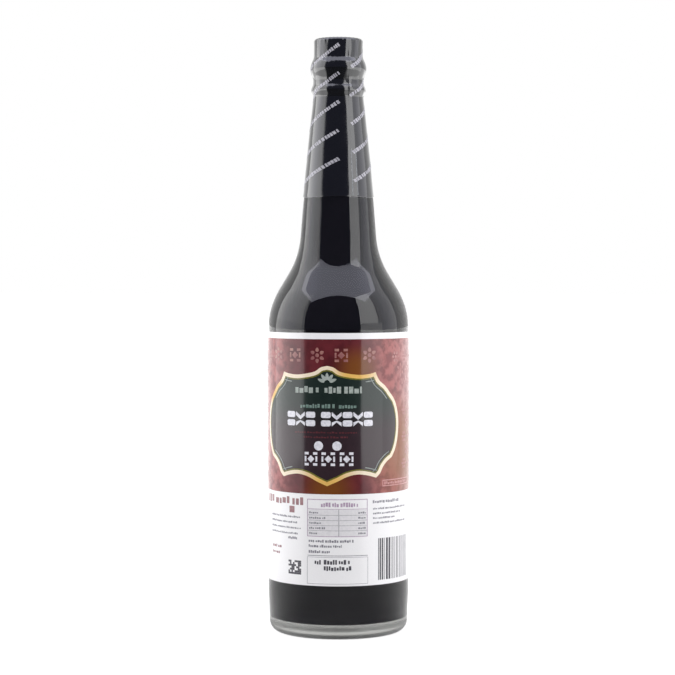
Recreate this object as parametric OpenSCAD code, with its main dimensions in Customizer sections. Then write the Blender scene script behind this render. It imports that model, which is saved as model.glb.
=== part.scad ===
// A sealed glass bottle of soy sauce: glass, sauce, moulded cap, shrunk film over cap and neck,
// and a paper label round the body. The origin is the centre of the base and +Z points up.

/* [Body] */
// Height of the whole bottle, base to sealed top
total_h = 295; // [245:1:355]
// Outside diameter of the straight body
body_d = 70; // [58:1:84]
// Height at which the straight body turns into the shoulder
body_h = 151; // [124:1:182]
// Thickness of the glass in the body, shoulder and neck
wall = 2.4; // [2:0.1:3.2]

/* [Base] */
// Radius of the round edge between base and heel
heel_r = 5.5; // [4:0.1:7]
// Height at which the heel reaches the full diameter
heel_h = 20.5; // [16:0.5:25]
// How much narrower the heel is on each side, just above the round edge
heel_taper = 0.7; // [0.3:0.1:1.2]
// Width of the flat ring that the bottle stands on
bearing_w = 3; // [2:0.1:4]
// Height of the push-up in the middle of the base
push_up = 3.2; // [2:0.1:4.5]
// Thickness of the glass above the push-up
base_t = 3.8; // [3:0.1:5]
// Radius of the round corner between floor and wall, inside
floor_r = 8; // [5:0.5:10]

/* [Shoulder and neck] */
// Radius of the round shoulder
shoulder_r = 38; // [30:1:46]
// Slope of the shoulder's steep stretch, from upright
shoulder_slope = 31; // [26:1:37]
// Radius of the hollow between shoulder and neck
hollow_r = 42; // [34:1:51]
// Diameter where the hollow ends and the neck begins
neck_d = 37.7; // [31:0.1:46]
// Slope of the neck's side at its foot, from upright
neck_slope = 4.3; // [3.5:0.1:5.2]
// Diameter of the neck under its ring
neck_top_d = 24.3; // [20:0.1:29.5]

/* [Ring and mouth] */
// How far the ring stands out from the neck
ring_out = 0.95; // [0.7:0.05:1.2]
// Height of the ring
ring_h = 7.2; // [6:0.1:9]
// Thickness of the glass at the mouth
mouth_wall = 2.7; // [2.2:0.1:3.3]
// Radius of the rounded rim of the mouth
mouth_r = 1.2; // [0.8:0.1:1.5]

/* [Cap] */
// Diameter of the cap's side
cap_d = 23.6; // [19.6:0.1:28.4]
// Height of the cap
cap_h = 21.1; // [17.5:0.1:25.5]
// Thickness of the cap's skirt
cap_wall = 1.4; // [1.1:0.1:1.7]
// Thickness of the cap's top
cap_top_t = 2.2; // [1.8:0.1:2.7]
// Radius of the cap's upper edge
cap_edge_r = 1.3; // [1:0.1:1.6]
// How far the cap's collar stands out from its side
collar_out = 1.5; // [1.2:0.1:1.8]
// Height of the collar's widest line above the skirt's foot
collar_low = 6.4; // [5.3:0.1:7.7]
// Height of the slope from the collar's widest line up to the cap's side
collar_high = 7; // [5.8:0.1:8.4]
// How far the skirt's foot stands out from the cap's side
foot_out = 0.3; // [0.2:0.05:0.5]
// Clearance between the cap's skirt and the mouth
cap_fit = 0.1; // [0.05:0.05:0.3]
// Clearance between the skirt's foot and the ring
skirt_gap = 0.6; // [0.3:0.1:1]

/* [Film] */
// Length of the shrunk film, from its top down to its lower edge
film_h = 78.8; // [65:0.1:95]
// Thickness of the film
film_t = 0.2; // [0.1:0.05:0.4]
// Clearance under the film
film_fit = 0.05; // [0.02:0.01:0.1]
// Width of the film turned in over the cap's top
film_lip = 3; // [2:0.1:4]

/* [Label] */
// Distance from the label's top edge to the shoulder
label_top_gap = 1.2; // [0.5:0.1:3]
// Distance from the heel's upper end to the label's lower edge
label_foot_gap = 6.4; // [4:0.1:9]
// Bare strip between the label's two ends, at the back
label_gap = 15; // [5:1:25]
// Thickness of the label
label_t = 0.15; // [0.1:0.05:0.3]

/* [Contents] */
// Space above the sauce, from its surface up to the rim of the mouth
headspace = 57; // [47:1:69]

/* [Hidden] */
$fn = 128;

// Steps along a round stretch
STEPS = 12;

body_r = body_d / 2;
neck_r = neck_d / 2;
neck_top_r = neck_top_d / 2;
cap_r = cap_d / 2;

floor_z = push_up + base_t;
bearing_r = body_r - heel_taper - heel_r;
heel_lean = -atan(heel_taper / (heel_h - heel_r));

cap_top_z = total_h - film_t - film_fit;
skirt_z = cap_top_z - cap_h;
mouth_z = cap_top_z - cap_top_t;
shelf_z = skirt_z - skirt_gap;
neck_top_z = shelf_z - ring_h;
ring_r = neck_top_r + ring_out;
skirt_r = cap_r - cap_wall;
mouth_out_r = skirt_r - cap_fit;
bore_r = mouth_out_r - mouth_wall;
rim_r = min(mouth_r, 0.48 * mouth_wall);
level_z = mouth_z - headspace;

// The two round stretches of the shoulder shrink together where the drop to the neck is small.
round_drop = shoulder_r * (1 - cos(shoulder_slope))
    + hollow_r * (cos(neck_slope) - cos(shoulder_slope));
fit_r = min(1, (body_r - neck_r) / round_drop);
upper_r = shoulder_r * fit_r;
lower_r = hollow_r * fit_r;
slant = (body_r - neck_r - round_drop * fit_r) / tan(shoulder_slope);

// A point of an outline is [radius, height, lean], where lean is its slope from upright.

// Round stretch about a centre, from one lean to another; a negative radius is hollow
function bend(centre, r, from, to) = [
    for (i = [0:STEPS])
        let (lean = from + (to - from) * i / STEPS)
        [centre.x + r * cos(lean), centre.y + r * sin(lean), lean]
];

// Smooth step between two points, upright at both ends
function ease(a, b) = [
    for (i = [0:STEPS])
        let (t = i / STEPS, rise = b.y - a.y, step = b.x - a.x)
        [
            a.x + step * (1 - cos(180 * t)) / 2,
            a.y + rise * t,
            -atan(step * PI / 2 * sin(180 * t) / rise)
        ]
];

// Outline moved outward by a distance, square to itself
function grown(line, by) = [for (p = line) [p.x + by * cos(p.z), p.y + by * sin(p.z)]];

// Radius of an outline at a height
function radius_at(line, z) = lookup(z, [for (p = line) [p.y, p.x]]);

// Parts of an outline below and above a height
function below(line, z) = concat([for (p = line) if (p.y < z) p], [[radius_at(line, z), z]]);
function above(line, z) = concat([[radius_at(line, z), z]], [for (p = line) if (p.y > z) p]);

function flat(line) = [for (p = line) [p.x, p.y]];
function turned(line) = [for (i = [len(line) - 1:-1:0]) line[i]];

// Shoulder: a round stretch, a straight slope and a hollow that ends at the neck's foot
hollow_from = [body_r - upper_r * (1 - cos(shoulder_slope)) - slant * tan(shoulder_slope),
    body_h + upper_r * sin(shoulder_slope) + slant];
hollow_centre = hollow_from + lower_r * [cos(shoulder_slope), sin(shoulder_slope)];
shoulder_line = concat(
    bend([body_r - upper_r, body_h], upper_r, 0, shoulder_slope),
    bend(hollow_centre, -lower_r, shoulder_slope, neck_slope)
);

// Neck: its side leans in a little more towards the top
neck_z = hollow_centre.y - lower_r * sin(neck_slope);
neck_rise = neck_top_z - neck_z;
neck_straight = tan(neck_slope) * neck_rise;
neck_bulge = neck_r - neck_top_r - neck_straight;
neck_line = [
    for (i = [1:STEPS])
        let (t = i / STEPS)
        [
            neck_r - neck_straight * t - neck_bulge * t * t,
            neck_z + neck_rise * t,
            atan((neck_straight + 2 * neck_bulge * t) / neck_rise)
        ]
];

ring_line = concat(
    ease([neck_top_r, neck_top_z], [ring_r, neck_top_z + ring_h / 2]),
    ease([ring_r, neck_top_z + ring_h / 2], [neck_top_r, shelf_z])
);

// Cap's outside, from the skirt's foot over the collar to the upper edge
collar_z = skirt_z + collar_low;
cap_line = concat(
    ease([cap_r + foot_out, skirt_z], [cap_r + collar_out, collar_z]),
    ease([cap_r + collar_out, collar_z], [cap_r, collar_z + collar_high]),
    bend([cap_r - cap_edge_r, cap_top_z - cap_edge_r], cap_edge_r, 0, 90)
);

// Inside of the glass, from the middle of the floor up to the mouth
cavity = concat(
    [[0, floor_z]],
    flat(bend([body_r - wall - floor_r, floor_z + floor_r], floor_r, -90, 0)),
    grown(concat(shoulder_line, neck_line), -wall),
    [[bore_r, shelf_z]],
    flat(bend([bore_r + rim_r, mouth_z - rim_r], -rim_r, 0, -90))
);

// Turns an outline into a solid of revolution
module lathe(outline) {
    rotate_extrude() polygon(outline);
}

module glass_bottle() {
    // The push-up is a shallow dome that starts at the inside of the bearing ring.
    push_r = bearing_r - bearing_w;
    dome_r = (push_r * push_r + push_up * push_up) / (2 * push_up);
    dome = bend([0, push_up - dome_r], dome_r, 90, acos(push_r / dome_r));
    outside = concat(
        flat(dome),
        flat(bend([bearing_r, heel_r], heel_r, -90, heel_lean)),
        [[body_r, heel_h]],
        flat(concat(shoulder_line, neck_line, ring_line)),
        [[mouth_out_r, shelf_z]],
        flat(bend([mouth_out_r - rim_r, mouth_z - rim_r], rim_r, 0, 90))
    );
    color([0.80, 0.82, 0.74, 0.45])
        lathe(concat(outside, turned(cavity)));
}

module soy_sauce() {
    color([0.06, 0.03, 0.02])
        lathe(concat(below(cavity, level_z), [[0, level_z]]));
}

module cap() {
    underside = [[0, mouth_z], [skirt_r, mouth_z], [skirt_r, skirt_z]];
    color([0.05, 0.05, 0.06])
        lathe(concat(underside, flat(cap_line), [[0, cap_top_z]]));
}

module seal_film() {
    covered = concat(
        shoulder_line,
        neck_line,
        ring_line,
        cap_line,
        [[cap_r - film_lip, cap_top_z, 90]]
    );
    foot_z = total_h - film_h;
    inner = above(grown(covered, film_fit), foot_z);
    outer = above(grown(covered, film_fit + film_t), foot_z);
    color([0.09, 0.09, 0.12])
        lathe(concat(outer, turned(inner)));
}

module label() {
    foot_z = heel_h + label_foot_gap;
    top_z = body_h - label_top_gap;
    bare = 360 * label_gap / (PI * body_d);
    color([0.42, 0.10, 0.13])
        rotate([0, 0, 90 + bare / 2])
            rotate_extrude(angle = 360 - bare)
                translate([body_r, foot_z])
                    square([label_t, top_z - foot_z]);
}

glass_bottle();
soy_sauce();
cap();
seal_film();
label();
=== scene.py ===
"""A sealed glass bottle of soy sauce: glass, sauce, cap, printed film and printed paper label.

Shapes are worked out in millimetres, in the frame of the CAD model, and built in metres.
Angles round the bottle are measured from the middle of the label, which faces -Y.
"""

import math
import random

import bmesh
import bpy
import numpy as np
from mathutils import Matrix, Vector


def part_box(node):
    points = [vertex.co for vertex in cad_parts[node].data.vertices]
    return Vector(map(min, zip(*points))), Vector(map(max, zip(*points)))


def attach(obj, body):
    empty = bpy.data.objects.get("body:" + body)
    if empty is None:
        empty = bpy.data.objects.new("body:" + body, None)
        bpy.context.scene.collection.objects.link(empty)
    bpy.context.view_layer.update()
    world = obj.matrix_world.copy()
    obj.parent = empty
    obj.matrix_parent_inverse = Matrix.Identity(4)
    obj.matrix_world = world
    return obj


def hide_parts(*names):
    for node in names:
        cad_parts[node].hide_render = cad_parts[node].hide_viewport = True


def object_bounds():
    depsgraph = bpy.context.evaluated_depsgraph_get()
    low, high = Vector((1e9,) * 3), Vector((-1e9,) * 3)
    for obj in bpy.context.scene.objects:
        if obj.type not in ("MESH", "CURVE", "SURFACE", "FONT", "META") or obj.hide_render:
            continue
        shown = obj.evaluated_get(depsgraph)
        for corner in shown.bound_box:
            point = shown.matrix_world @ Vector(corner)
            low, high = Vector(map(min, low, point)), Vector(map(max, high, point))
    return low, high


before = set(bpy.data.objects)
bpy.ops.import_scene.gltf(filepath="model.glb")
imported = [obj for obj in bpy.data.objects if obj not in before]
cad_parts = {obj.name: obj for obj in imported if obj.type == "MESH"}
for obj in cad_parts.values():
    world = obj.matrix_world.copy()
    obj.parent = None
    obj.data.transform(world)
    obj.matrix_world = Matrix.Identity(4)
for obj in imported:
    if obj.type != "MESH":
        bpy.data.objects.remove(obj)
cad_low, cad_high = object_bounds()

MM = 0.001
STEPS = 24

# ---- sizes, as in the CAD source

TOTAL_H = cad_high.z / MM
BODY_R = 35.0
BODY_H = 151.0
WALL = 2.4
HEEL_R = 5.5
HEEL_H = 20.5
HEEL_TAPER = 0.7
BEARING_W = 3.0
PUSH_UP = 3.2
BASE_T = 3.8
FLOOR_R = 8.0
SHOULDER_R = 38.0
SHOULDER_SLOPE = 31.0
HOLLOW_R = 42.0
NECK_R = 18.85
NECK_SLOPE = 4.3
NECK_TOP_R = 12.15
RING_OUT = 0.95
RING_H = 7.2
MOUTH_WALL = 2.7
MOUTH_RIM_R = 1.2
CAP_R = 11.8
CAP_H = 21.1
CAP_WALL = 1.4
CAP_TOP_T = 2.2
CAP_EDGE_R = 1.3
COLLAR_OUT = 1.5
COLLAR_LOW = 6.4
COLLAR_HIGH = 7.0
FOOT_OUT = 0.3
CAP_FIT = 0.1
SKIRT_GAP = 0.6
FILM_T = 0.2
FILM_FIT = 0.05
FILM_LIP = 3.0
LABEL_T = 0.15
LABEL_GAP = 15.0
HEADSPACE = 57.0

FILM_FOOT_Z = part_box("seal_film")[0].z / MM
LABEL_FOOT_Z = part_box("label")[0].z / MM
LABEL_TOP_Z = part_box("label")[1].z / MM
LABEL_HALF = math.pi * BODY_R - LABEL_GAP / 2

FLOOR_Z = PUSH_UP + BASE_T
BEARING_R = BODY_R - HEEL_TAPER - HEEL_R
HEEL_LEAN = -math.degrees(math.atan(HEEL_TAPER / (HEEL_H - HEEL_R)))
CAP_TOP_Z = TOTAL_H - FILM_T - FILM_FIT
SKIRT_Z = CAP_TOP_Z - CAP_H
MOUTH_Z = CAP_TOP_Z - CAP_TOP_T
SHELF_Z = SKIRT_Z - SKIRT_GAP
NECK_TOP_Z = SHELF_Z - RING_H
RING_R = NECK_TOP_R + RING_OUT
SKIRT_R = CAP_R - CAP_WALL
MOUTH_OUT_R = SKIRT_R - CAP_FIT
BORE_R = MOUTH_OUT_R - MOUTH_WALL
LEVEL_Z = MOUTH_Z - HEADSPACE
COLLAR_Z = SKIRT_Z + COLLAR_LOW


# ---- outlines

def cosd(angle):
    return math.cos(math.radians(angle))


def sind(angle):
    return math.sin(math.radians(angle))


def bend(centre, radius, start, end, steps=STEPS):
    """Round stretch as (radius, height, lean) points, where lean is the slope from upright."""
    leans = [start + (end - start) * i / steps for i in range(steps + 1)]
    return [(centre[0] + radius * cosd(a), centre[1] + radius * sind(a), a) for a in leans]


def ease(a, b, steps):
    """Smooth step between two points, upright at both ends."""
    rise, step = b[1] - a[1], b[0] - a[0]
    line = []
    for i in range(steps + 1):
        t = i / steps
        lean = -math.degrees(math.atan(step * math.pi / 2 * sind(180 * t) / rise))
        line.append((a[0] + step * (1 - cosd(180 * t)) / 2, a[1] + rise * t, lean))
    return line


def straight(a, b, steps):
    """Points between two (radius, height) points, without its two ends."""
    return [
        (a[0] + (b[0] - a[0]) * i / steps, a[1] + (b[1] - a[1]) * i / steps)
        for i in range(1, steps)
    ]


def grown(line, by):
    """Outline moved outward by a distance, square to itself."""
    return [(p[0] + by * cosd(p[2]), p[1] + by * sind(p[2])) for p in line]


def flat(line):
    return [(p[0], p[1]) for p in line]


def radius_at(line, z):
    return float(np.interp(z, [p[1] for p in line], [p[0] for p in line]))


def below(line, z):
    return [p for p in line if p[1] < z] + [(radius_at(line, z), z)]


def above(line, z):
    return [(radius_at(line, z), z)] + [p for p in line if p[1] > z]


def shoulder():
    """Round stretch, straight slope and hollow, from the body up to the foot of the neck."""
    slope = math.tan(math.radians(SHOULDER_SLOPE))
    upper_in = SHOULDER_R * (1 - cosd(SHOULDER_SLOPE))
    drop = upper_in + HOLLOW_R * (cosd(NECK_SLOPE) - cosd(SHOULDER_SLOPE))
    slant = (BODY_R - NECK_R - drop) / slope
    r = BODY_R - upper_in - slant * slope
    z = BODY_H + SHOULDER_R * sind(SHOULDER_SLOPE) + slant
    centre = (r + HOLLOW_R * cosd(SHOULDER_SLOPE), z + HOLLOW_R * sind(SHOULDER_SLOPE))
    upper = bend((BODY_R - SHOULDER_R, BODY_H), SHOULDER_R, 0, SHOULDER_SLOPE)
    return upper + bend(centre, -HOLLOW_R, SHOULDER_SLOPE, NECK_SLOPE)


def neck(foot_z):
    """The neck's side, which leans in a little more towards the top."""
    rise = NECK_TOP_Z - foot_z
    lean_in = math.tan(math.radians(NECK_SLOPE)) * rise
    bulge = NECK_R - NECK_TOP_R - lean_in
    line = []
    for i in range(1, STEPS + 1):
        t = i / STEPS
        lean = math.degrees(math.atan((lean_in + 2 * bulge * t) / rise))
        line.append((NECK_R - lean_in * t - bulge * t * t, foot_z + rise * t, lean))
    return line


SHOULDER = shoulder()
NECK = neck(SHOULDER[-1][1])
RING = ease((NECK_TOP_R, NECK_TOP_Z), (RING_R, NECK_TOP_Z + RING_H / 2), 10)
RING += ease((RING_R, NECK_TOP_Z + RING_H / 2), (NECK_TOP_R, SHELF_Z), 10)
CAP_SIDE = ease((CAP_R + FOOT_OUT, SKIRT_Z), (CAP_R + COLLAR_OUT, COLLAR_Z), 14)
CAP_SIDE += ease((CAP_R + COLLAR_OUT, COLLAR_Z), (CAP_R, COLLAR_Z + COLLAR_HIGH), 14)
CAP_EDGE = bend((CAP_R - CAP_EDGE_R, CAP_TOP_Z - CAP_EDGE_R), CAP_EDGE_R, 0, 90, 10)


def cavity(grow):
    """Inside of the glass, from the middle of the floor up to the mouth, moved into the wall."""
    corner = (BODY_R - WALL - FLOOR_R, FLOOR_Z + FLOOR_R)
    wall_r = BODY_R - WALL + grow
    line = [(0.0, FLOOR_Z - grow)]
    line += straight((0.0, FLOOR_Z - grow), (corner[0], FLOOR_Z - grow), 6)
    line += grown(bend(corner, FLOOR_R, -90, 0, 14), grow)
    line += straight((wall_r, corner[1]), (wall_r, BODY_H), 10)
    line += grown(SHOULDER + NECK, grow - WALL)
    line += [(BORE_R + grow, SHELF_Z)]
    return line


# ---- surface relief

def smooth_step(low, high, value):
    t = np.clip((value - low) / (high - low), 0.0, 1.0)
    return t * t * (3 - 2 * t)


def swell(angle, z, seed):
    """Slow unevenness between -1 and 1, made of a few long waves."""
    wave = np.sin(3 * angle + 0.061 * z + seed)
    wave = wave + np.sin(5 * angle - 0.094 * z + 2.3 * seed)
    wave = wave + np.sin(0.17 * z + 1.7 * seed + 2 * np.sin(angle))
    return wave / 3


def from_label(angle, middle):
    """Signed angle from a line up the bottle, both measured from the middle of the label."""
    return (angle - middle + math.pi) % (2 * math.pi) - math.pi


def bottle_relief(angle, r, z):
    """Outward relief of the glass: slight unevenness, and mould seams at the two sides."""
    uneven, seam_out = 0.035, 0.11
    out = uneven * swell(angle, z, 1.0) * smooth_step(24.0, 40.0, z)
    for side in (-math.pi / 2, math.pi / 2):
        away = np.abs(from_label(angle, side)) * r
        out = out + seam_out * (1 - smooth_step(0.15, 0.75, away)) * smooth_step(3.0, 6.0, z)
    return out


def lathe(name, outline, segments, relief=None, inner_from=None):
    """Closed mesh turned from an outline; relief moves its points, up to where the inner outline begins."""
    angles = np.arange(segments) * 2 * math.pi / segments
    verts, rings = [], []
    for i, (r, z) in enumerate(outline):
        if r < 1e-6:
            rings.append([len(verts)] * segments)
            verts.append((0.0, 0.0, z * MM))
            continue
        radius = np.full(segments, float(r))
        height = np.full(segments, float(z))
        if relief and (inner_from is None or i < inner_from):
            radius, height = relief(angles, radius, height, i)
        rings.append(list(range(len(verts), len(verts) + segments)))
        xs = radius * np.sin(angles) * MM
        ys = -radius * np.cos(angles) * MM
        verts += zip(xs.tolist(), ys.tolist(), (height * MM).tolist())
    faces = []
    closed = outline[0][0] > 1e-6 or outline[-1][0] > 1e-6
    for i in range(len(outline) if closed else len(outline) - 1):
        a, b = rings[i], rings[(i + 1) % len(outline)]
        for j in range(segments):
            k = (j + 1) % segments
            corners = [a[j], a[k], b[k], b[j]]
            faces.append(tuple(dict.fromkeys(corners)))
    return make(name, verts, faces)


def placed(name, mesh):
    """Object from a mesh: smooth, with sharp edges over 40 degrees."""
    mesh.polygons.foreach_set("use_smooth", [True] * len(mesh.polygons))
    mesh.set_sharp_from_angle(angle=math.radians(40))
    piece = bpy.data.objects.new(name, mesh)
    bpy.context.scene.collection.objects.link(piece)
    return piece


def make(name, verts, faces):
    """Object from vertices in metres, with all its faces turned outward."""
    mesh = bpy.data.meshes.new(name)
    mesh.from_pydata(verts, [], [f for f in faces if len(f) > 2])
    mesh.validate()
    bm = bmesh.new()
    bm.from_mesh(mesh)
    bmesh.ops.recalc_face_normals(bm, faces=bm.faces)
    bm.to_mesh(mesh)
    bm.free()
    return placed(name, mesh)


# ---- materials

def linear(hex_colour):
    """Linear colour from six hexadecimal digits of sRGB."""
    channels = [int(hex_colour[i:i + 2], 16) / 255 for i in (0, 2, 4)]
    return tuple(c / 12.92 if c <= 0.04045 else ((c + 0.055) / 1.055) ** 2.4 for c in channels)


class Nodes:
    """Short calls for the nodes of one tree. A value is a number, a colour or the output of a node."""

    def __init__(self, tree):
        self.tree = tree

    def node(self, kind, **settings):
        node = self.tree.nodes.new(kind)
        for key, value in settings.items():
            setattr(node, key, value)
        return node

    def link(self, source, target):
        self.tree.links.new(source, target)

    def feed(self, socket, value):
        if isinstance(value, bpy.types.NodeSocket):
            self.link(value, socket)
        else:
            socket.default_value = (*value, 1.0) if isinstance(value, tuple) else value

    def remap(self, value, low, high, to_low, to_high, ease="SMOOTHSTEP"):
        node = self.node("ShaderNodeMapRange", interpolation_type=ease)
        for socket, number in zip(node.inputs[1:5], (low, high, to_low, to_high)):
            socket.default_value = number
        self.link(value, node.inputs[0])
        return node.outputs[0]

    def maths(self, operation, *values):
        node = self.node("ShaderNodeMath", operation=operation)
        for socket, value in zip(node.inputs, values):
            self.feed(socket, value)
        return node.outputs[0]

    def times(self, one, two):
        return self.maths("MULTIPLY", one, two)

    def dot(self, vector, direction):
        """How far a vector points along a direction."""
        node = self.node("ShaderNodeVectorMath", operation="DOT_PRODUCT")
        self.link(vector, node.inputs[0])
        node.inputs[1].default_value = direction
        return node.outputs["Value"]

    def mix(self, factor, first, second):
        """Blend of two colours."""
        node = self.node("ShaderNodeMix", data_type="RGBA")
        for i, value in ((0, factor), (6, first), (7, second)):
            self.feed(node.inputs[i], value)
        return node.outputs[2]

    def between(self, factor, first, second):
        """Blend of two numbers."""
        node = self.node("ShaderNodeMix")
        for i, value in ((0, factor), (2, first), (3, second)):
            self.feed(node.inputs[i], value)
        return node.outputs[0]


class Shader(Nodes):
    """A Principled material, measured over the object in metres."""

    def __init__(self, name, **values):
        self.material = bpy.data.materials.new(name)
        self.material.use_nodes = True
        super().__init__(self.material.node_tree)
        self.bsdf = self.tree.nodes["Principled BSDF"]
        self.where = self.node("ShaderNodeTexCoord").outputs["Object"]
        for key, value in values.items():
            self.bsdf.inputs[key.replace("_", " ")].default_value = value

    def noise(self, scale, detail, stretch=(1.0, 1.0, 1.0)):
        """Noise over the object, with a scale in cells a metre."""
        mapping = self.node("ShaderNodeMapping")
        mapping.inputs["Scale"].default_value = stretch
        self.link(self.where, mapping.inputs["Vector"])
        noise = self.node("ShaderNodeTexNoise")
        noise.inputs["Scale"].default_value = scale
        noise.inputs["Detail"].default_value = detail
        self.link(mapping.outputs["Vector"], noise.inputs["Vector"])
        return noise.outputs["Fac"]

    def axis(self, name):
        """Place along the X, Y or Z axis."""
        split = self.node("ShaderNodeSeparateXYZ")
        self.link(self.where, split.inputs[0])
        return split.outputs[name]

    def turn(self):
        """Angle from the middle of the label, in radians, the same on both sides."""
        back = self.times(self.axis("Y"), -1.0)
        return self.maths("ABSOLUTE", self.maths("ARCTAN2", self.axis("X"), back))

    def distance(self, point):
        """Distance from a point."""
        node = self.node("ShaderNodeVectorMath", operation="DISTANCE")
        self.link(self.where, node.inputs[0])
        node.inputs[1].default_value = point
        return node.outputs["Value"]

    def colour(self, value):
        self.link(value, self.bsdf.inputs["Base Color"])

    def rough(self, value):
        self.link(value, self.bsdf.inputs["Roughness"])

    def bump(self, value, depth, strength):
        """Fine relief from a value, with a depth in metres."""
        node = self.node("ShaderNodeBump")
        node.inputs["Strength"].default_value = strength
        node.inputs["Distance"].default_value = depth
        self.link(value, node.inputs["Height"])
        self.link(node.outputs["Normal"], self.bsdf.inputs["Normal"])

    def printed(self, grain, least=0.42, most=0.55):
        """Surface of varnished print: roughness that follows a grain, and the fine relief of paper."""
        self.rough(self.remap(grain, 0.3, 0.7, least, most))
        self.bump(self.noise(2600.0, 4.0), 0.00001, 0.2)


def glass_material():
    """Clear glass with a faint tint, paler and ground dull at the foot."""
    shader = Shader("bottle_glass", IOR=1.5, Transmission_Weight=1.0)
    tint = shader.remap(shader.noise(9.0, 1.0), 0.3, 0.7, 0.0, 1.0)
    wall = shader.mix(tint, (0.67, 0.672, 0.635), (0.71, 0.712, 0.67))
    foot = shader.remap(shader.axis("Z"), 0.008, 0.014, 1.0, 0.0)
    shader.colour(shader.mix(foot, wall, (0.80, 0.805, 0.775)))
    shader.rough(shader.remap(shader.axis("Z"), 0.004, 0.012, 0.36, 0.0))
    shader.bump(shader.noise(34.0, 1.0, (1.0, 1.0, 0.35)), 0.0006, 0.05)
    return shader.material


def sauce_material():
    shader = Shader("sauce", IOR=1.36, Specular_IOR_Level=0.0)
    depth = shader.remap(shader.noise(14.0, 2.0), 0.3, 0.7, 0.0, 1.0)
    shader.colour(shader.mix(depth, (0.0080, 0.0075, 0.0120), (0.0114, 0.0101, 0.0152)))
    shader.rough(shader.remap(depth, 0.0, 1.0, 0.55, 0.65))
    return shader.material


def cap_material():
    shader = Shader("cap_plastic", IOR=1.5)
    patches = shader.noise(260.0, 3.0)
    shader.colour(shader.mix(patches, linear("15151a"), linear("202026")))
    shader.rough(shader.remap(patches, 0.3, 0.7, 0.28, 0.42))
    shader.bump(shader.noise(5200.0, 2.0), 0.00002, 0.3)
    return shader.material


def film_material():
    shader = Shader("film", IOR=1.5, Coat_Weight=0.75, Coat_Roughness=0.05)
    cloud = shader.noise(60.0, 3.0, (1.0, 1.0, 0.4))
    shader.colour(shader.mix(cloud, linear("06070b"), linear("0e0f15")))
    shader.rough(shader.remap(shader.noise(180.0, 3.0), 0.3, 0.7, 0.1, 0.18))
    shader.bump(shader.noise(900.0, 3.0, (1.0, 1.0, 0.3)), 0.00004, 0.15)
    return shader.material


VARNISH = {"Coat_Weight": 0.62, "Coat_Roughness": 0.07, "Coat_IOR": 1.46, "Specular_IOR_Level": 0.15}


def paper_material():
    shader = Shader("label_paper", **VARNISH)
    fibre = shader.noise(2600.0, 4.0, (1.0, 1.0, 0.6))
    shader.colour(shader.mix(fibre, linear("ecebee"), linear("f6f5f8")))
    shader.rough(shader.remap(fibre, 0.3, 0.7, 0.5, 0.6))
    shader.bump(fibre, 0.00001, 0.25)
    return shader.material


def ink_material(name, dark, light, scale=900.0, shine=None):
    """Varnished ink that varies between two colours."""
    shader = Shader(name, **(shine or VARNISH))
    grain = shader.noise(scale, 3.0)
    shader.colour(shader.mix(shader.remap(grain, 0.3, 0.7, 0.0, 1.0), linear(dark), linear(light)))
    shader.printed(grain)
    return shader.material


def maroon_material():
    """Maroon ink in cloudy shades, golden above, below and right of the plaque; paler at the sides, which is
    painted light from the side softboxes.
    """
    shader = Shader("ink_maroon_painted_side_light", **VARNISH)
    cloud = shader.remap(shader.noise(120.0, 4.0), 0.35, 0.68, 0.0, 1.0)
    ground = shader.mix(cloud, linear("4e131c"), linear("641f28"))
    side_light_mottle = shader.remap(shader.noise(260.0, 3.0), 0.36, 0.64, 0.35, 1.0)
    front = shader.remap(shader.turn(), 1.8, 2.4, 1.0, 0.0)
    # Painted light: the maroon turns paler round the sides, where the side softboxes light it and reflect in
    # it; mottled, and gone at the back.
    for near, far, most, tone in ((0.45, 0.9, 0.85, "ad6462"), (1.05, 1.35, 0.85, "bd8c8b")):
        side = shader.times(shader.remap(shader.turn(), near, far, 0.0, most), front)
        ground = shader.mix(shader.times(side, side_light_mottle), ground, linear(tone))
    for x, z, reach in ((0.5, 73.5, 0.017), (15.0, 132.5, 0.014)):
        glow = shader.remap(shader.distance(on_label(x, z, 0.0)), 0.002, reach, 0.95, 0.0)
        ground = shader.mix(glow, ground, linear("74400f"))
    warm = shader.remap(shader.distance(on_label(46.0, 93.0, 0.0)), 0.008, 0.032, 0.85, 0.0)
    ground = shader.mix(warm, ground, linear("8a5430"))
    shader.colour(ground)
    shader.printed(shader.noise(700.0, 3.0))
    return shader.material


def plaque_material():
    """Black ink, faintly green at the top and faintly red at the bottom."""
    shader = Shader("ink_black", **VARNISH)
    rise = shader.remap(shader.axis("Z"), 0.100, 0.118, 0.0, 1.0)
    grain = shader.noise(500.0, 3.0)
    low = shader.mix(grain, linear("281b22"), linear("322129"))
    high = shader.mix(grain, linear("101f1c"), linear("182824"))
    shader.colour(shader.mix(rise, low, high))
    shader.printed(grain)
    return shader.material


def border_material():
    """Cream ink that turns golden in places."""
    shader = Shader("ink_border", **VARNISH)
    ground = shader.mix(shader.noise(700.0, 2.0), linear("ead9c2"), linear("f4e6cf"))
    for x, z, reach in ((0.0, 75.0, 0.020), (14.0, 130.0, 0.015), (-33.0, 122.0, 0.010)):
        glow = shader.remap(shader.distance(on_label(x, z, 0.0)), 0.004, reach, 0.9, 0.0)
        ground = shader.mix(glow, ground, linear("e0ae4a"))
    shader.colour(ground)
    shader.printed(shader.noise(700.0, 3.0), 0.36, 0.5)
    return shader.material


# ---- flat shapes, laid on the label or film

def block(x0, x1, z0, z1):
    return [(x0, z0), (x1, z0), (x1, z1), (x0, z1)], [(0, 1, 2, 3)]


def shape(points):
    return list(points), [tuple(range(len(points)))]


def disc(x, z, r, sides=36):
    return shape([(x + r * sind(360 * i / sides), z + r * cosd(360 * i / sides)) for i in range(sides)])


def lozenge(x, z, width, height):
    return shape([(x - width / 2, z), (x, z - height / 2), (x + width / 2, z), (x, z + height / 2)])


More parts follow.
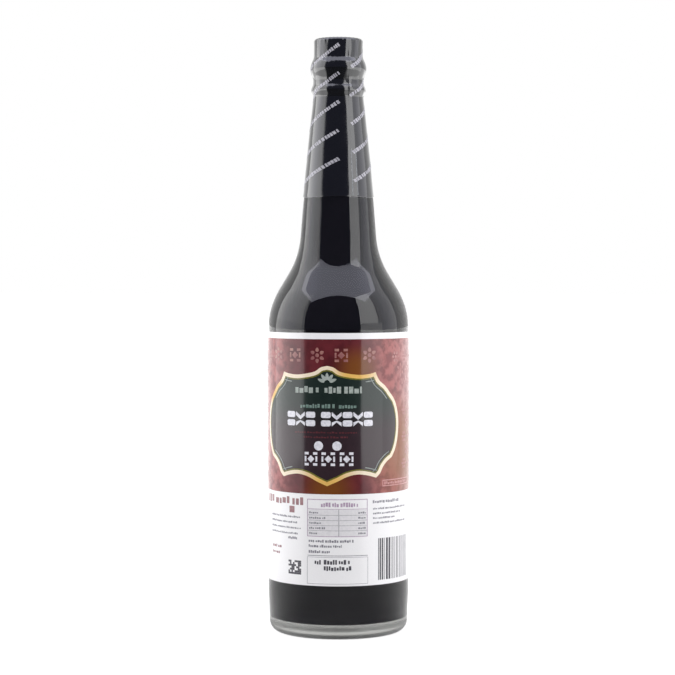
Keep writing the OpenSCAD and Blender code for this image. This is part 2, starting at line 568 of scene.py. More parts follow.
def petal(x, z, turn, near, far, width):
    """Leaf-shaped patch that points away from a centre."""
    points = []
    for i in range(16):
        t = 2 * math.pi * i / 16
        along = (near + far) / 2 + (far - near) / 2 * math.cos(t)
        across = width / 2 * math.sin(t) * (1 - 0.3 * math.cos(t))
        right = along * sind(turn) + across * cosd(turn)
        up = along * cosd(turn) - across * sind(turn)
        points.append((x + right, z + up))
    return shape(points)


def rounded(x0, x1, z0, z1, r):
    """Block with round corners."""
    points = []
    centres = ((x1 - r, z1 - r), (x1 - r, z0 + r), (x0 + r, z0 + r), (x0 + r, z1 - r))
    for k, (x, z) in enumerate(centres):
        turns = [90 * k + 15 * i for i in range(7)]
        points += [(x + r * sind(turn), z + r * cosd(turn)) for turn in turns]
    return shape(points)


def offset(points, by):
    """Closed outline moved inward by a distance; the outline runs clockwise."""
    moved = []
    for i, (x, z) in enumerate(points):
        before, after = points[i - 1], points[(i + 1) % len(points)]
        one = Vector((x - before[0], z - before[1])).normalized()
        two = Vector((after[0] - x, after[1] - z)).normalized()
        normal = Vector((one.y + two.y, -one.x - two.x)).normalized()
        stretch = max(0.6, normal.dot(Vector((one.y, -one.x))))
        moved.append((x + normal.x * by / stretch, z + normal.y * by / stretch))
    return moved


def band(points, near, far, keep=None):
    """Strip inside a closed outline, from one distance to another; keep says which parts stay."""
    one, two = offset(points, near), offset(points, far)
    count = len(points)
    faces = []
    for i in range(count):
        j = (i + 1) % count
        if keep is None or (keep(*one[i]) and keep(*one[j])):
            faces.append((i, j, count + j, count + i))
    used = sorted({i for face in faces for i in face})
    place = {old: new for new, old in enumerate(used)}
    both = one + two
    return [both[i] for i in used], [tuple(place[i] for i in face) for face in faces]


def curve(points, steps=8):
    """Smooth line through points; both of its ends are corners."""
    ends = [points[0], *points, points[-1]]
    line = []
    for a, b, c, d in zip(ends, ends[1:], ends[2:], ends[3:]):
        for i in range(steps):
            t = i / steps
            line.append(tuple(
                0.5 * (2 * b[k] + (c[k] - a[k]) * t + (2 * a[k] - 5 * b[k] + 4 * c[k] - d[k]) * t * t
                       + (3 * b[k] - a[k] - 3 * c[k] + d[k]) * t ** 3)
                for k in (0, 1)
            ))
    return line


def words(x0, x1, z, height, seed, unit):
    """A row of small blocks that stands for a line of print."""
    draw = random.Random(seed)
    row, x = [], x0
    left = draw.randint(3, 8)
    while x < x1 - 0.3 * unit:
        width = min(draw.uniform(0.55, 1.15) * unit, x1 - x)
        low = z - height / 2 + height * draw.choice((0.0, 0.0, 0.12))
        high = z + height / 2 - height * draw.choice((0.0, 0.18, 0.3))
        row.append(block(x, x + width, low, high))
        left -= 1
        x += width + unit * (0.28 if left else 0.75)
        left = left or draw.randint(3, 8)
    return row


def ripple(x, z):
    """Slight unevenness of the paper, in mm."""
    wave = math.sin(0.23 * x + 0.11 * z) + math.sin(0.13 * x - 0.19 * z + 1.3) + math.sin(0.31 * x + 2.0)
    return 0.012 * wave + 0.036


def round_bottle(angle, r, z):
    """Place in metres, from an angle in radians and a radius and height in mm."""
    return r * math.sin(angle) * MM, -r * math.cos(angle) * MM, z * MM


def on_label(x, z, lift):
    """Place in metres of a point on the label, from its arc length and height in mm."""
    return round_bottle(x / BODY_R, BODY_R + LABEL_T + ripple(x, z) + lift, z)


def slab(name, patches, finish, low, high, place, columns=1.0, rows=4.0):
    """Closed thin piece from flat patches, cut into cells and bent round the bottle."""
    bm = bmesh.new()
    for points, faces in patches:
        verts = [bm.verts.new((x, 0.0, z)) for x, z in points]
        for face in faces:
            bm.faces.new([verts[i] for i in face])
    for axis, pitch in ((0, columns), (2, rows)):
        values = [v.co[axis] for v in bm.verts]
        normal = (1, 0, 0) if axis == 0 else (0, 0, 1)
        for k in range(math.floor(min(values) / pitch) + 1, math.ceil(max(values) / pitch)):
            cut = tuple(k * pitch * n for n in normal)
            everything = bm.verts[:] + bm.edges[:] + bm.faces[:]
            bmesh.ops.bisect_plane(bm, geom=everything, dist=1e-4, plane_co=cut, plane_no=normal)
    bmesh.ops.triangulate(bm, faces=bm.faces[:])
    moved = bmesh.ops.extrude_face_region(bm, geom=bm.faces[:])["geom"]
    for item in moved:
        if isinstance(item, bmesh.types.BMVert):
            item.co.y = 1.0
    for vert in bm.verts:
        vert.co = place(vert.co.x, vert.co.z, high if vert.co.y > 0.5 else low)
    bmesh.ops.recalc_face_normals(bm, faces=bm.faces)
    mesh = bpy.data.meshes.new(name)
    bm.to_mesh(mesh)
    bm.free()
    mesh.materials.append(finish)
    return placed(name, mesh)


# ---- glass

def build_glass():
    push_r = BEARING_R - BEARING_W
    dome_r = (push_r ** 2 + PUSH_UP ** 2) / (2 * PUSH_UP)
    dome = bend((0.0, PUSH_UP - dome_r), dome_r, 90, math.degrees(math.acos(push_r / dome_r)), 14)
    outside = flat(dome) + straight((push_r, 0.0), (BEARING_R, 0.0), 8)
    outside += flat(bend((BEARING_R, HEEL_R), HEEL_R, -90, HEEL_LEAN, 18))
    outside += straight(outside[-1], (BODY_R, HEEL_H), 5) + [(BODY_R, HEEL_H)]
    outside += straight((BODY_R, HEEL_H), (BODY_R, BODY_H), 14)
    outside += flat(SHOULDER + NECK + RING)
    outside += [(MOUTH_OUT_R, SHELF_Z)]
    rim_z = MOUTH_Z - MOUTH_RIM_R
    outside += flat(bend((MOUTH_OUT_R - MOUTH_RIM_R, rim_z), MOUTH_RIM_R, 0, 90, 8))
    inside = cavity(0.0) + flat(bend((BORE_R + MOUTH_RIM_R, rim_z), -MOUTH_RIM_R, 0, -90, 8))

    def relief(angle, r, z, _):
        """Relief off the surfaces that the label and cap sit on, and a ring of stipples underneath."""
        bare_half, stipples, stipple_h = 0.23, 64, 0.30
        off_strip = np.abs(from_label(angle, math.pi)) > bare_half
        covered = (z > LABEL_FOOT_Z - 1) & (z < LABEL_TOP_Z + 1) & off_strip
        out = np.where(covered | (z > SHELF_Z), 0.0, bottle_relief(angle, r, z))
        crescents = np.maximum(0.0, np.sin(stipples * angle)) ** 0.7
        foot = np.exp(-((r - BEARING_R + 0.4) / 1.0) ** 2) * (z < 1.2)
        return r + out, z + stipple_h * crescents * foot

    piece = lathe("glass", outside + inside[::-1], 320, relief, len(outside))
    piece.data.materials.append(glass_material())
    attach(piece, "root")
    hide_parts("glass_bottle")


# ---- sauce

def build_sauce():
    """Sauce that reaches just into the glass, with a surface that climbs a little at the wall."""
    reach, climb, fade, rings = 0.12, 1.1, 1.3, 14
    line = below(cavity(reach), LEVEL_Z + climb)
    edge = line[-1][0]
    for i in range(1, rings):
        r = edge * (1 - i / rings) ** 1.4
        line.append((r, LEVEL_Z + climb * math.exp(-(edge - r) / fade)))
    line.append((0.0, LEVEL_Z))
    piece = lathe("sauce", line, 256)
    piece.data.materials.append(sauce_material())
    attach(piece, "root")
    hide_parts("soy_sauce")


# ---- cap

def build_cap():
    """Moulded cap: ribbed side under the film, dished top with a ring and a gate mark."""
    underside = [(0.0, MOUTH_Z)] + straight((0.0, MOUTH_Z), (SKIRT_R, MOUTH_Z), 4)
    underside += [(SKIRT_R, MOUTH_Z), (SKIRT_R, SKIRT_Z)]
    side = flat(CAP_SIDE)
    side += straight((CAP_R, COLLAR_Z + COLLAR_HIGH), (CAP_R, CAP_TOP_Z - CAP_EDGE_R), 4)
    top = [(8.3, 0.0), (8.1, -0.03), (7.9, -0.12), (7.7, -0.24), (7.5, -0.3), (7.2, -0.32)]
    top += [(6.4, -0.32), (5.4, -0.32), (5.2, -0.27), (5.0, -0.2), (4.8, -0.17), (4.6, -0.2)]
    top += [(4.4, -0.27), (4.2, -0.32), (3.0, -0.32), (1.5, -0.32), (1.1, -0.3), (0.95, -0.22)]
    top += [(0.8, -0.12), (0.5, -0.06), (0.25, -0.1), (0.0, -0.14)]
    outline = underside + side + flat(CAP_EDGE) + [(r, CAP_TOP_Z + dz) for r, dz in top]

    def relief(angle, r, z, _):
        """Grooves between the ribs of the side, which fade out at the foot and at the top."""
        ribs, depth = 72, 0.14
        groove = depth * np.maximum(0.0, np.sin(ribs * angle)) * smooth_step(SKIRT_Z + 1, SKIRT_Z + 2, z)
        groove = groove * (1 - smooth_step(CAP_TOP_Z - 3.0, CAP_TOP_Z - 1.6, z)) * (r > CAP_R - 0.1)
        return r - groove, z

    piece = lathe("moulded_cap", outline, 360, relief)
    piece.data.materials.append(cap_material())
    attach(piece, "root")
    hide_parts("cap")


# ---- film

SEAM_FROM = math.radians(32.5)
SEAM_TO = math.radians(43.5)
FILM_R = 12.0
FILM_COVERS = SHOULDER + NECK + RING + CAP_SIDE
FILM_COVERS = FILM_COVERS + [(CAP_R, z, 0.0) for _, z in straight(CAP_SIDE[-1], CAP_EDGE[0], 5)] + CAP_EDGE
FILM_OUTER = above(grown(FILM_COVERS, FILM_FIT + FILM_T), FILM_FOOT_Z)
FILM_SIDE_R = np.array([p[0] for p in FILM_OUTER])
FILM_SIDE_Z = np.array([p[1] for p in FILM_OUTER])


def fine_folds(angle, z):
    """Close upright folds, between 0 and 1."""
    return 0.5 + 0.5 * np.sin(31 * angle + 1.4 * np.sin(3 * angle) - 0.2 * z)


def film_relief(angle, z):
    """How far the shrunk film stands out, in mm: waves, creases at its bends, lap seam, taut collar."""
    waves = 0.05 * (1 + swell(angle, 3.0 * z, 4.0))
    under_collar = np.exp(-((z - SHELF_Z + 2.05) / 5.5) ** 2)
    over_collar = np.exp(-((z - COLLAR_Z - 5.45) / 3.5) ** 2)
    at_edge = smooth_step(CAP_TOP_Z - 3.75, CAP_TOP_Z - 1.15, z)
    at_foot = 1 - smooth_step(FILM_FOOT_Z, FILM_FOOT_Z + 3.0, z)
    folds = 0.5 + 0.5 * np.sin(19 * angle + 0.9 * np.sin(4 * angle) + 0.12 * z)
    out = waves + folds * (0.13 * under_collar + 0.06 * at_foot)
    out = out + fine_folds(angle, z) * (0.07 * over_collar + 0.10 * at_edge)
    lap = from_label(angle, (SEAM_FROM + SEAM_TO) / 2)
    half = (SEAM_TO - SEAM_FROM) / 2
    seam = 1 - smooth_step(half - 0.03, half + 0.03, np.abs(lap))
    out = out + 0.045 * seam * (1 - smooth_step(CAP_TOP_Z - 2.75, CAP_TOP_Z - 0.75, z))
    taut = smooth_step(COLLAR_Z - 4.55, COLLAR_Z + 0.45, z)
    out = out + 0.36 * taut * (1 - smooth_step(COLLAR_Z + 2.85, COLLAR_Z + 5.85, z))
    rolled = 0.07 * np.exp(-((z - FILM_FOOT_Z - 0.25) / 0.22) ** 2)
    return out + rolled


def film_radius(angle, z):
    return np.interp(z, FILM_SIDE_Z, FILM_SIDE_R) + film_relief(angle, z)


def on_film(x, z, lift):
    """Place in metres of a point on the film, from its arc length at radius FILM_R and height in mm."""
    angle = x / FILM_R
    return round_bottle(angle, float(film_radius(angle, z)) + lift, z)


def build_film():
    """Shrunk film with a rolled lower edge, turned in over the cap's top with a ragged, pleated lip."""
    lip_r = CAP_R - FILM_LIP
    edge_r = CAP_R - CAP_EDGE_R
    top_z = CAP_TOP_Z + FILM_FIT
    foot = FILM_OUTER[0]
    heights = [foot[1] + 0.12 * i for i in range(1, 7)]
    side = [foot] + [(radius_at(FILM_OUTER, z), z) for z in heights]
    outer = side + [p for p in FILM_OUTER if p[1] > side[-1][1] + 0.3]
    lip = straight((edge_r, 0.0), (lip_r, 0.0), 6) + [(lip_r, 0.0)]
    outer += [(r, top_z + FILM_T) for r, _ in lip]
    inner = above(grown(FILM_COVERS, FILM_FIT), FILM_FOOT_Z)[::2] + [(lip_r, top_z)]

    def relief(angle, r, z, i):
        """Relief of the outside; the inside only follows the wavy foot and the ragged lip."""
        inward = smooth_step(0.0, edge_r - lip_r, edge_r - r)
        ragged = 0.35 * inward * (np.sin(7 * angle + 0.6) + 0.6 * np.sin(17 * angle) - 0.4)
        wavy = 0.12 * (np.sin(4 * angle + 1.0) + 0.5 * np.sin(9 * angle)) * (z < FILM_FOOT_Z + 1.0)
        out, raised = 0.0, 0.0
        if i < len(outer):
            out = film_relief(angle, z) * (1 - smooth_step(-0.9, 0.4, edge_r - r))
            pleats = fine_folds(angle, TOTAL_H) * smooth_step(-1.0, 0.6, edge_r - r)
            raised = (0.04 + 0.13 * pleats) * (z > top_z - 0.6)
        return r + out + np.where(z > top_z - 0.1, ragged, 0.0), z + raised + wavy

    piece = lathe("film", outer + inner[::-1], 360, relief)
    piece.data.materials.append(film_material())
    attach(piece, "root")
    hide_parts("seal_film")


def slanted_rows():
    """White rows that climb to the right round the film, each a chain of small slanted blocks."""
    climb = 8.3 / FILM_R
    length = math.hypot(1.0, climb)
    along = Vector((1.0, climb)) / length
    across = Vector((-climb, 1.0)) / length
    half, pitch, rows = 0.92, 14.05, 5
    reach = math.radians(92) * FILM_R * length
    draw = random.Random(11)
    patches = []
    for start, top_z in ((-84, 277.6), (36, 280.2), (156, 279.0)):
        for k in range(rows):
            at = Vector((math.radians(start) * FILM_R, top_z - pitch * k))
            travelled = 0.0
            while travelled < reach:
                size = draw.uniform(0.7, 1.35)
                one = at + along * travelled
                two = one + along * size
                tall = half * draw.uniform(0.82, 1.0)
                corners = [one - across * tall, two - across * tall, two + across * tall, one + across * tall]
                if max(c.y for c in corners) < CAP_TOP_Z - 1.5:
                    patches.append(shape([(c.x, c.y) for c in corners]))
                travelled += size + draw.choice((0.26, 0.26, 0.26, 0.55))
    return patches


def build_film_print():
    """White rows all round the film, and two light lines along the edges of its lap seam, painted highlights
    where those edges catch the light.
    """
    shine = {"IOR": 1.5, "Coat_Weight": 0.35, "Coat_Roughness": 0.08}
    white = ink_material("film_white", "9695a0", "b4b2bb", 600.0, shine)
    piece = slab("film_print", slanted_rows(), white, -0.03, 0.035, on_film, 0.6, 0.8)
    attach(piece, "root")
    # Painted highlights: two pale grey lines along the edges of the lap seam.
    grey = ink_material("painted_seam_highlight", "6d7076", "8b8e93", 600.0, shine)
    edges = []
    half, top_z = 0.13, 240.0
    for angle in (SEAM_FROM + 0.01, SEAM_TO - 0.02):
        x = angle * FILM_R
        edges.append(block(x - half, x + half, FILM_FOOT_Z + 0.9, top_z))
    piece = slab("painted_seam_highlight", edges, grey, -0.03, 0.04, on_film, 0.6, 0.8)
    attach(piece, "root")


# ---- label

def build_paper():
    """Paper sheet with its own thickness, bent round the glass, with a bare strip at the back."""
    sheet = [block(-LABEL_HALF, LABEL_HALF, LABEL_FOOT_Z, LABEL_TOP_Z)]

    def place(x, z, lift):
        """The printed face follows the label's ripples; the back face lies just clear of the glass."""
        if lift > 0.5:
            return on_label(x, z, 0.0)
        return round_bottle(x / BODY_R, BODY_R + 0.004, z)

    piece = slab("label_paper", sheet, paper_material(), 0.0, 1.0, place)
    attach(piece, "root")
    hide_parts("label")


def plaque_outline():
    """Closed clockwise outline of the plaque, from the corners of its right half."""
    stretches = (
        [
            (0.0, 133.9), (3.2, 133.1), (6.0, 131.2), (10.5, 130.1),
            (16.0, 129.5), (21.0, 129.9), (24.4, 130.7),
        ],
        [(24.4, 130.7), (25.4, 128.4), (27.0, 126.2), (30.2, 123.8), (33.4, 120.4)],
        [
            (33.4, 120.4), (36.8, 116.6), (39.2, 111.0), (40.0, 104.6),
            (39.0, 97.6), (36.9, 92.2), (34.5, 88.8),
        ],
        [(34.5, 88.8), (31.4, 87.0), (28.9, 84.6), (27.0, 81.4), (24.6, 79.3)],
        [(24.6, 79.3), (20.0, 80.6), (15.0, 81.2), (10.0, 80.2), (5.0, 77.8), (0.0, 75.6)],
    )
    right = [point for stretch in stretches for point in curve(stretch)]
    left = [(-x, z) for x, z in reversed(right[1:])]
    return right + [stretches[-1][-1]] + left


PLAQUE = plaque_outline()
FIELD_FOOT_Z = 71.6
FIELD_TOP_Z = 146.8
BARS_FOOT_Z = 29.2
BARS_TOP_Z = 49.6
BACK_PANELS = (-94.0, 58.0)


def in_plaque(x, z, margin):
    """Whether a point is inside the plaque or near it, by a superellipse round it."""
    half_w, half_h, middle_z = 41.0, 30.0, 104.5
    return (abs(x) / (half_w + margin)) ** 3 + (abs(z - middle_z) / (half_h + margin)) ** 3 < 1


def fret(x, z, size):
    """Square ornament of six bars round a lozenge."""
    s = size / 2
    patches = [lozenge(x, z, 1.1 * s, 1.1 * s)]
    for low, high in ((z + 0.62 * s, z + s), (z - s, z - 0.62 * s)):
        patches.append(block(x - s, x - 0.35 * s, low, high))
        patches.append(block(x + 0.35 * s, x + s, low, high))
    patches.append(block(x - s, x - 0.72 * s, z - 0.4 * s, z + 0.4 * s))
    patches.append(block(x + 0.72 * s, x + s, z - 0.4 * s, z + 0.4 * s))
    return patches


def flower(x, z, size, turn):
    """Six petals round a disc."""
    petals = [petal(x, z, turn + 60 * i, 0.22 * size, 0.5 * size, 0.22 * size) for i in range(6)]
    return petals + [disc(x, z, 0.13 * size, 12)]


def chevron(left, right, outer, inner, notch, tip):
    """V-shaped patch: its two ends reach from outer to inner, and its middle from notch to tip."""
    middle = (left + right) / 2
    return shape([
        (left, outer), (left, inner), (middle, tip),
        (right, inner), (right, outer), (middle, notch),
    ])


def title_row():
    """Two groups of large ornaments, three and five."""
    z, half_h, gap = 108.1, 3.5, 0.5
    patches = []
    for x0, x1, count in ((-22.0, -5.6, 3), (-3.2, 23.0, 5)):
        pitch = (x1 - x0) / count
        for i in range(count):
            left = x0 + pitch * i + gap / 2
            right = left + pitch - gap
            if i % 2 == 0:
                patches.append(rounded(left, right, z + 0.55, z + half_h, 0.9))
                patches.append(rounded(left, right, z - half_h, z - 0.55, 0.9))
            else:
                patches.append(chevron(left, right, z + half_h, z + 1.6, z + 1.5, z - 0.4))
                patches.append(chevron(left, right, z - half_h, z - 1.6, z - 1.5, z - 0.7))
    return patches


def white_on_black():
    patches = title_row()
    for x in (-4.2, 4.8):
        patches.append(disc(x, 95.1, 2.25))
    for x in (-8.1, 0.6, 9.5):
        patches += fret(x, 88.7, 6.6)
    return patches


def grey_on_black():
    patches = words(-16.7, -3.6, 122.3, 3.3, 3, 2.0) + words(-1.2, 17.0, 122.2, 3.3, 4, 2.0)
    for turn in (-68, -34, 0, 34, 68):
        patches.append(petal(0.0, 125.7, turn, 1.3, 4.9, 1.6))
    return patches


def green_on_black():
    return words(-13.8, 3.7, 114.4, 2.0, 5, 1.3) + words(5.7, 15.0, 114.3, 2.0, 6, 1.3)


def red_on_black():
    return words(-17.0, 14.5, 101.6, 0.9, 7, 1.2) + words(-12.0, 10.0, 99.3, 0.9, 8, 1.2)


def near_corner(x, z):
    """Whether a point is near one of the plaque's four corners."""
    return abs(x) > 18.5 and (z > 117.5 or z < 92.0)


def ornaments():
    """Pinkish ornaments in a row above the plaque."""
    patches = []
    for i, x in enumerate((-29.0, -17.0, -4.9, 6.9, 21.0)):
        patches += fret(x, 139.0, 6.4) if i % 2 else flower(x, 139.0, 7.6, 0)
    return patches


def damask():
    """Flowers set in a lattice over the maroon field, clear of the plaque and the ornaments."""
    patches = []
    for row in range(11):
        z = 78.5 + 6.6 * row
        shift = 4.2 if row % 2 else 0.0
        for column in range(-12, 13):
            x = 8.4 * column + shift
            if abs(x) > LABEL_HALF - 4.0 or z > 144.0 or in_plaque(x, z, 3.0):
                continue
            if (abs(x) < 34.5 and z > 131.0) or (22.0 < x < 56.0 and z < 83.0):
                continue
            patches += flower(x, z, 7.0 - 1.2 * (row % 2), 30 * (row % 2))
            patches += [lozenge(x + 4.2, z, 1.3, 1.3)]
    return patches


def rule(x0, x1, z, thick):
    return block(x0, x1, z - thick / 2, z + thick / 2)


def frame_of(x0, x1, z0, z1, thick):
    return band([(x0, z1), (x1, z1), (x1, z0), (x0, z0)], 0.0, thick)


def pink_box():
    return [frame_of(28.4, 50.6, 74.8, 78.0, 0.5), *words(29.6, 49.4, 76.4, 1.5, 9, 1.1)]


def lilac_lines():
    patches = [frame_of(-10.1, 20.0, 50.9, 69.2, 0.35)]
    patches += words(-3.0, 15.0, 66.5, 2.2, 21, 1.1)
    patches += [rule(-9.7, 19.6, 64.4, 0.25)]
    return patches


def grey_lines():
    """Small print on the white part of the label, in front and round to the back."""
    patches = []
    pitch = 2.5
    for k, length in enumerate((5.0, 8.5, 6.0, 8.0, 4.5)):
        z = 62.6 - pitch * k
        patches += words(-9.0, -9.0 + length, z, 1.0, 40 + k, 0.85)
        patches += words(15.2, 19.0, z, 1.0, 50 + k, 0.85)
    patches += [block(5.55, 5.85, 51.3, 64.2)]
    for x0, x1 in ((-9.7, 5.4), (6.0, 19.6)):
        patches += [rule(x0, x1, 61.4 - pitch * k, 0.16) for k in range(4)]
    for x1, z in ((13.0, 48.8), (7.1, 46.4), (1.3, 43.6)):
        patches += words(-9.3, x1, z, 1.35, int(z * 10), 0.95)
    patches += [rule(-9.9, 20.1, 41.7, 0.3), frame_of(-10.1, 20.2, 27.9, 41.0, 0.15)]
    for k in range(4):
        patches += words(-36.0, -13.5 - 2.0 * (k % 2), 60.0 - 2.7 * k, 0.95, 60 + k, 0.8)
    patches += words(-21.5, -15.5, 49.6, 1.3, 64, 0.9)
    for k in range(4):
        patches += words(23.0, 47.0 - 5.0 * (k % 3), 64.2 - 2.3 * k, 0.9, 70 + k, 0.8)
    patches += words(22.8, 40.7, 67.6, 1.5, 75, 1.0)
    for left in BACK_PANELS:
        for k in range(12):
            right = left + 36.0 - 7.0 * ((k * 5) % 4)
            patches += words(left, right, 64.0 - 2.6 * k, 1.0, 90 + k + int(left), 0.85)
    return patches


def dark_blocks():
    """Bolder print: blocks of text, a patch of random squares and a set of random bars."""
    patches = words(-6.2, -3.1, 38.5, 2.2, 22, 1.2) + words(-1.6, 11.0, 38.6, 2.3, 23, 1.2)
    patches += words(-1.6, 11.9, 35.5, 2.3, 24, 1.2)
    draw = random.Random(5)
    cell = 0.98
    for i in range(8):
        for j in range(7):
            if draw.random() < 0.76:
                x, z = -21.3 + cell * i, 31.9 + cell * j
                patches.append(block(x, x + cell * 0.97, z, z + cell * 0.97))
    x = 25.9
    while x < 39.5:
        width = draw.choice((0.45, 0.45, 0.9, 1.3))
        patches.append(block(x, x + width, BARS_FOOT_Z, BARS_TOP_Z))
        x += width + draw.choice((0.4, 0.45, 0.9))
    return patches


def light_bars():
    """The paler end of the set of bars."""
    draw = random.Random(6)
    patches, x = [], 40.6
    while x < 50.3:
        width = draw.choice((0.4, 0.5, 0.8))
        patches.append(block(x, x + width, BARS_FOOT_Z, BARS_TOP_Z))
        x += width + draw.choice((0.4, 0.5, 0.7))
    return patches


def brown_heading():
    patches = words(-42.0, -12.3, 67.8, 3.8, 31, 2.6)
    patches += [block(-20.6, -17.4, 62.0, 65.2)]
    patches += words(-35.0, -26.0, 44.8, 1.4, 32, 1.4) + words(-35.0, -28.0, 41.8, 1.4, 33, 1.4)
    for left in BACK_PANELS:
        patches += words(left, left + 24.0, 67.6, 2.6, 120 + int(left), 1.6)
    return patches


def table_tint():
    return [block(-9.6, 5.4, 51.4, 64.2), block(6.0, 19.5, 51.4, 64.2)]


def build_label_print():
    """Layers of print, each from one depth to another in mm, measured from the face of the paper."""
    on_field, on_black, in_black = (0.015, 0.060), (0.040, 0.085), (0.040, 0.080)
    on_white = (-0.015, 0.030)
    field = block(-LABEL_HALF, LABEL_HALF, FIELD_FOOT_Z, FIELD_TOP_Z)
    corners = band(PLAQUE, 3.3, 3.75, near_corner)
    layers = [
        ("print_field", [field], maroon_material(), (0.000, 0.030)),
        ("print_plaque", [shape(offset(PLAQUE, 0.4))], plaque_material(), (0.020, 0.055)),
        ("print_border", [band(PLAQUE, 0.0, 1.8)], border_material(), (0.020, 0.085)),
        ("print_olive", [band(PLAQUE, 1.8, 2.5)], ink_material("ink_olive", "5a5a1c", "74702c"), in_black),
        ("print_corners", [corners], ink_material("ink_silver", "77807c", "8f9793"), in_black),
        ("print_damask", damask(), ink_material("ink_pink", "9a6060", "b17a78", 300.0), on_field),
        ("print_ornaments", ornaments(), ink_material("ink_rose", "8a5658", "a87870", 300.0), on_field),
        ("print_box", pink_box(), ink_material("ink_pale_pink", "b87f80", "cc9896"), on_field),
        ("print_white", white_on_black(), ink_material("ink_white", "cfcfda", "e9e8f0"), on_black),
        ("print_grey", grey_on_black(), ink_material("ink_grey", "8f9a94", "a9b0ad"), on_black),
        ("print_green", green_on_black(), ink_material("ink_green", "5d756e", "7c908a"), on_black),
        ("print_red", red_on_black(), ink_material("ink_red", "4c222a", "5e2c33"), on_black),
        ("print_lilac", lilac_lines(), ink_material("ink_lilac", "a48ea8", "b9a4ba"), on_white),
        ("print_tint", table_tint(), ink_material("ink_tint", "dcdadf", "e4e2e6"), (-0.015, 0.020)),
        ("print_small", grey_lines(), ink_material("ink_small", "7b7a84", "94929b"), (-0.010, 0.045)),
        ("print_dark", dark_blocks(), ink_material("ink_dark", "45434b", "57555e"), on_white),
        ("print_bars", light_bars(), ink_material("ink_bars", "8b8a90", "a1a0a5"), on_white),
        ("print_brown", brown_heading(), ink_material("ink_brown", "8d666c", "a27d80"), on_white),
    ]
    for name, patches, finish, (low, high) in layers:
        piece = slab(name, patches, finish, low, high, on_label)
        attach(piece, "root")


# ---- room, lights and camera

CAMERA_TURN = 9.0
CAMERA_DISTANCE = 1.0735
CAMERA_HEIGHT = 0.1803
CAMERA_TILT = 1.8
CAMERA_AIM = 0.024
LENS = 114.67
WHITE = (1.0, 1.0, 1.0)


def toward(turn, distance, height):
    """Place at an angle to the left of the line from bottle to camera."""
    angle = CAMERA_TURN - turn
    return Vector((distance * sind(angle), -distance * cosd(angle), height))


def area_light(name, place, target, width, height, radiance, glossy=True, diffuse=True):
    """Area light with an even brightness, aimed at a point; the camera doesn't see it."""
    data = bpy.data.lights.new(name, "AREA")
    data.shape = "RECTANGLE"
    data.size = width
    data.size_y = height
    data.energy = radiance * math.pi * width * height
    light = bpy.data.objects.new(name, data)
    light.location = place
    light.rotation_euler = (target - place).to_track_quat("-Z", "Y").to_euler()
    light.visible_camera = False
    light.visible_glossy = glossy
    light.visible_diffuse = diffuse
    light.visible_transmission = False
    bpy.context.scene.collection.objects.link(light)
    return light


def softbox(name, inner, outer, bottom, top, radiance):
    """Upright softbox between two angles to the left of the camera, and between two heights."""
    distance = 0.9
    middle, height = (inner + outer) / 2, (bottom + top) / 2
    width = 2 * distance * math.tan(math.radians(abs(outer - inner) / 2))
    place, target = toward(middle, distance, height), toward(0, 0.0, height)
    area_light(name, place, target, width, top - bottom, radiance)


def build_lights():
    """Softboxes at both sides, each brighter above their lower part, a top light and a front fill."""
    low, middle, high = 0.0, 0.27, 1.12
    for name, inner, outer, bottom, top, radiance in (
        ("left_edge", 56.5, 61.5, low, high, 1.3),
        ("left_low", 61.5, 122.0, low, middle, 1.95),
        ("left_high", 61.5, 122.0, middle, high, 2.35),
        ("right_low_front", -36.0, -75.0, low, middle, 1.95),
        ("right_low_back", -75.0, -110.0, low, middle, 1.1),
        ("right_high_front", -36.0, -68.0, middle, high, 3.15),
        ("right_high_back", -68.0, -110.0, middle, high, 1.15),
    ):
        softbox(name, inner, outer, bottom, top, radiance)
    over = area_light("top", toward(0, 0.28, 1.28), toward(0, 0.279, 0.0), 2.4, 1.24, 2.1, diffuse=False)
    over.data.color = (0.95, 0.96, 1.12)
    area_light("front_fill", toward(8, 1.7, 0.7), toward(0, 0.0, 0.1), 1.2, 1.0, 1.0, glossy=False)


def build_world():
    """White studio: even for the camera, dimmer for diffuse light, darker in front in reflections."""
    world = bpy.data.worlds.new("studio")
    bpy.context.scene.world = world
    world.use_nodes = True
    world.cycles.sampling_method = "NONE"
    sky = Nodes(world.node_tree)
    path = sky.node("ShaderNodeLightPath").outputs
    direction = sky.node("ShaderNodeTexCoord").outputs["Generated"]
    behind = sky.remap(sky.dot(direction, toward(0, 1.0, 0.0)), -0.45, 0.35, 1.0, 0.10, "LINEAR")
    tone = sky.mix(behind, (0.97, 1.0, 1.5), WHITE)
    reflected = sky.times(path["Is Glossy Ray"], path["Is Reflection Ray"])
    strength = sky.between(reflected, 1.0, behind)
    background = sky.tree.nodes["Background"].inputs
    sky.link(sky.mix(reflected, WHITE, tone), background["Color"])
    sky.link(sky.between(path["Is Diffuse Ray"], strength, 0.45), background["Strength"])


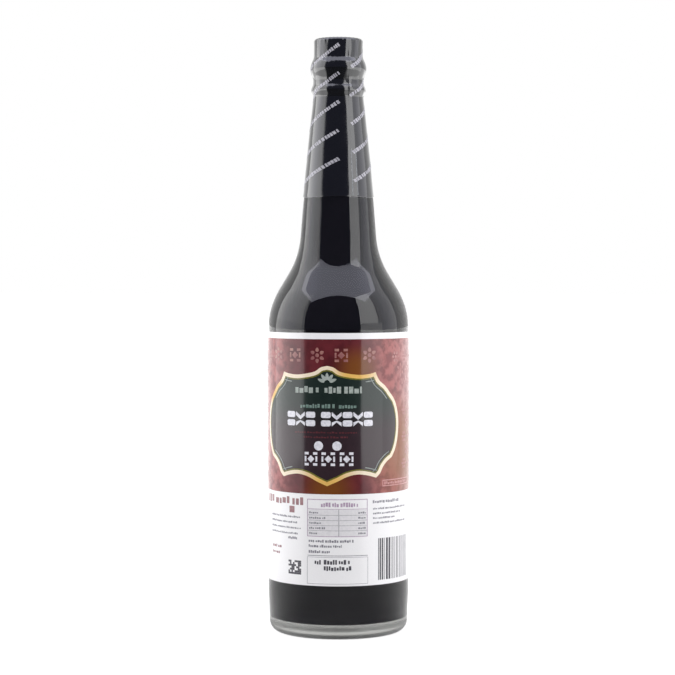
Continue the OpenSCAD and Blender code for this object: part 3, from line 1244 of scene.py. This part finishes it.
def build_floor():
    """Pale flat floor. Its glow depends on the kind of ray that meets it, and where."""
    size, cells = 30.0, 40
    verts, faces = [], []
    for i in range(cells + 1):
        for j in range(cells + 1):
            verts.append((size * (i / cells - 0.5), size * (j / cells - 0.5), 0.0))
    for i in range(cells):
        for j in range(cells):
            a = i * (cells + 1) + j
            faces.append((a, a + cells + 1, a + cells + 2, a + 1))
    floor = make("floor", verts, faces)
    floor.location.z = -0.05 * MM
    shader = Shader("floor", Roughness=0.9, Specular_IOR_Level=0.0, Emission_Color=(*WHITE, 1.0))
    path = shader.node("ShaderNodeLightPath").outputs
    normalize = shader.node("ShaderNodeVectorMath", operation="NORMALIZE")
    shader.link(shader.where, normalize.inputs[0])
    around = normalize.outputs["Vector"]
    away = shader.distance((0.0, 0.0, 0.0))
    ring = shader.remap(away, 0.040, 0.055, 0.8, 0.0)
    near = shader.remap(shader.dot(around, toward(0, 1.0, 0.0)), -0.3, 0.95, 0.75, 0.03)
    glow = shader.maths("MAXIMUM", near, ring)
    sides = shader.remap(shader.dot(around, toward(10, 1.0, 0.0)), 0.62, 0.74, 1.9, 0.03)
    mirrored = shader.times(shader.remap(away, 0.17, 0.29, 0.0, 1.0), path["Is Glossy Ray"])
    direct = shader.maths("MAXIMUM", path["Is Camera Ray"], path["Is Transmission Ray"])
    strength = shader.between(direct, shader.between(mirrored, glow, sides), 0.85)
    shader.link(strength, shader.bsdf.inputs["Emission Strength"])
    pale = shader.mix(shader.noise(3.0, 2.0), (0.40, 0.40, 0.40), (0.42, 0.42, 0.42))
    shader.colour(shader.mix(mirrored, pale, (0.04, 0.04, 0.04)))
    floor.data.materials.append(shader.material)


def build_camera():
    data = bpy.data.cameras.new("camera")
    data.sensor_width = 36.0
    data.lens = LENS
    data.clip_end = 100.0
    camera = bpy.data.objects.new("camera", data)
    camera.location = toward(0, CAMERA_DISTANCE, CAMERA_HEIGHT)
    camera.rotation_euler = (math.radians(90 - CAMERA_TILT), 0.0, math.radians(CAMERA_TURN + CAMERA_AIM))
    bpy.context.scene.collection.objects.link(camera)
    bpy.context.scene.camera = camera


build_camera()
build_lights()
build_world()
build_floor()
build_glass()
build_sauce()
build_cap()
build_film()
build_film_print()
build_paper()
build_label_print()

bpy.context.scene.view_settings.view_transform = "Standard"
bpy.context.scene.view_settings.look = "None"
